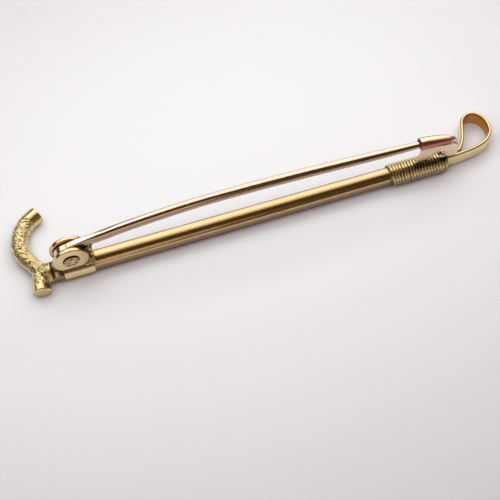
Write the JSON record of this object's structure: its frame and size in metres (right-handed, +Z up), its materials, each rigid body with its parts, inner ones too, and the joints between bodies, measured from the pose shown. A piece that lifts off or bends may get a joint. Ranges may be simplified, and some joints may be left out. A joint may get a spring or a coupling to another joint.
{
  "type": "stock pin",
  "caption": "Gold stock pin shaped as a riding crop, with a bark-textured crook, a wire-bound lash loop and a hinged pin stem that closes into a hooded catch.",
  "frame": {"origin": "below the middle of the whole pin's bounding box, on the surface that it lies on", "axes": "+X along the stick from the crook to the lash loop, +Y across towards the crook's tip, +Z up, to the side where the pin stem stands over the stick"},
  "size_m": [0.0599, 0.0116, 0.0085],
  "materials": {
    "polished_gold": "polished",
    "bark_gold": "cast bark texture",
    "rose_gold": "polished",
    "catch_gold": "polished",
    "wire_gold": "drawn wire, dirty between the turns"
  },
  "bodies": {
    "crop": {"handle": "bark_gold", "shaft": "polished_gold", "hinge_collar": "polished_gold", "rivet": "rose_gold", "whipping": "wire_gold", "catch": "catch_gold", "loop": "polished_gold"},
    "pin": {"pin_stem": "rose_gold"}
  },
  "joints": [
    {"name": "stem_hinge", "type": "hinge", "parent": "crop", "child": "pin", "pos_m": [-0.02366, -0.0035, 0.00468], "axis": [0, -1, 0], "range_deg": [0, 105]}
  ]
}
